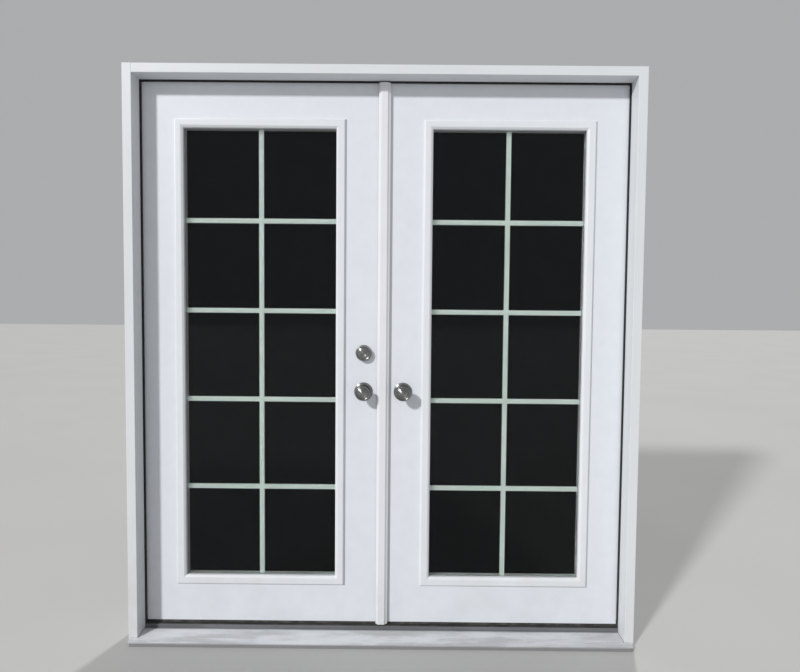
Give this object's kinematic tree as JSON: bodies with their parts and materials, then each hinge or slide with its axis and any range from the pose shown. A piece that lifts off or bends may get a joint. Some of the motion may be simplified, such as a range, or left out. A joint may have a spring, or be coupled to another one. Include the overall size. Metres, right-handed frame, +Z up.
{
  "type": "french doors",
  "caption": "Pair of inswing glazed doors in a rabbeted frame with sill, astragal, flush bolts, knobs, latch and deadbolt.",
  "frame": {"origin": "middle of the width, on the outside face of the jambs and the underside of the sill", "axes": "+X to the right seen from outside, +Y into the house, +Z up"},
  "size_m": [1.7938, 0.202, 2.0219],
  "materials": {
    "leaf_paint": "satin white paint",
    "frame_paint": "satin white paint on wood",
    "light_moulding": "satin white moulding",
    "astragal_paint": "satin white paint",
    "cap_plastic": "matte white plastic",
    "glass": "clear insulating glass",
    "spacer_metal": "matte aluminium",
    "grille_paint": "white bars",
    "seal_black": "matte black",
    "sill_metal": "mill-finish aluminium",
    "sill_core": "grey composite",
    "threshold": "dark composite",
    "satin_nickel": "satin nickel",
    "lock_steel": "bright steel",
    "screw_white": "white screw heads"
  },
  "bodies": {
    "frame": {"left_jamb": "frame_paint", "right_jamb": "frame_paint", "head_jamb": "frame_paint", "left_weatherstrip": "seal_black", "right_weatherstrip": "seal_black", "head_weatherstrip": "seal_black", "corner_pads": "seal_black", "sill_base": "sill_core", "sill_deck": "sill_metal", "threshold_cap": "threshold", "threshold_screws": "lock_steel", "flush_bolt_strikes": "lock_steel", "hinge_pins": "satin_nickel", "frame_hinge_leaves": "satin_nickel", "frame_hinge_screws": "satin_nickel"},
    "left_leaf": {"left_slab": "leaf_paint", "left_light_frame_outer": "light_moulding", "left_light_frame_inner": "light_moulding", "left_glass_outer": "glass", "left_glass_inner": "glass", "left_glass_spacer": "spacer_metal", "left_grille": "grille_paint", "left_light_screws": "screw_white", "left_sweep": "seal_black", "left_hinge_leaves": "satin_nickel", "left_rose_outer": "satin_nickel", "left_rose_inner": "satin_nickel", "left_hinge_screws": "satin_nickel", "deadbolt_collar": "satin_nickel", "deadbolt_turn_plate": "satin_nickel", "deadbolt_case": "satin_nickel", "latch_case": "satin_nickel"},
    "right_leaf": {"right_slab": "leaf_paint", "right_light_frame_outer": "light_moulding", "right_light_frame_inner": "light_moulding", "right_glass_outer": "glass", "right_glass_inner": "glass", "right_glass_spacer": "spacer_metal", "right_grille": "grille_paint", "right_light_screws": "screw_white", "right_sweep": "seal_black", "right_hinge_leaves": "satin_nickel", "right_rose_outer": "satin_nickel", "right_rose_inner": "satin_nickel", "right_leaf_screws": "satin_nickel", "right_knob_outer": "satin_nickel", "right_knob_inner": "satin_nickel", "astragal": "astragal_paint", "astragal_weatherstrip": "seal_black", "astragal_end_caps": "cap_plastic", "strike_plates": "satin_nickel"},
    "left_knob": {"left_knob_outer": "satin_nickel", "left_knob_inner": "satin_nickel", "knob_spindle": "lock_steel"},
    "latch": {"latch_bolt": "satin_nickel"},
    "thumbturn": {"deadbolt_thumbturn": "satin_nickel"},
    "key_plug": {"deadbolt_key_plug": "satin_nickel"},
    "deadbolt": {"deadbolt": "lock_steel"},
    "upper_flush_bolt": {"flush_bolt_upper": "lock_steel"},
    "lower_flush_bolt": {"flush_bolt_lower": "lock_steel"}
  },
  "joints": [
    {"name": "left_swing", "type": "hinge", "parent": "frame", "child": "left_leaf", "pos_m": [-0.8763, 0.1228, 1], "axis": [0, 0, 1], "range_deg": [0, 100]},
    {"name": "right_swing", "type": "hinge", "parent": "frame", "child": "right_leaf", "pos_m": [0.8763, 0.1228, 1], "axis": [0, 0, -1], "range_deg": [0, 90]},
    {"name": "knob_turn", "type": "hinge", "parent": "left_leaf", "child": "left_knob", "pos_m": [-0.0712, 0.09375, 0.8935], "axis": [0, 1, 0], "range_deg": [0, 60]},
    {"name": "latch_slide", "type": "slide", "parent": "left_leaf", "child": "latch", "axis": [1, 0, 0], "range_m": [0, 0.0127]},
    {"name": "thumb_turn", "type": "hinge", "parent": "left_leaf", "child": "thumbturn", "pos_m": [-0.0712, 0.09375, 1.0332], "axis": [0, 1, 0], "range_deg": [0, 90]},
    {"name": "key_turn", "type": "hinge", "parent": "left_leaf", "child": "key_plug", "pos_m": [-0.0712, 0.09375, 1.0332], "axis": [0, 1, 0], "range_deg": [0, 90]},
    {"name": "deadbolt_slide", "type": "slide", "parent": "left_leaf", "child": "deadbolt", "axis": [1, 0, 0], "range_m": [0, 0.0254]},
    {"name": "upper_bolt_slide", "type": "slide", "parent": "right_leaf", "child": "upper_flush_bolt", "axis": [0, 0, 1], "range_m": [0, 0.019]},
    {"name": "lower_bolt_slide", "type": "slide", "parent": "right_leaf", "child": "lower_flush_bolt", "axis": [0, 0, -1], "range_m": [0, 0.019]}
  ],
  "couplings": [
    {"joint": "right_swing", "follows": "left_swing", "ratio": 0.9},
    {"joint": "latch_slide", "follows": "knob_turn", "m_per_rad": 0.01212},
    {"joint": "thumb_turn", "follows": "deadbolt_slide", "rad_per_m": 61.84},
    {"joint": "key_turn", "follows": "deadbolt_slide", "rad_per_m": 61.84}
  ]
}
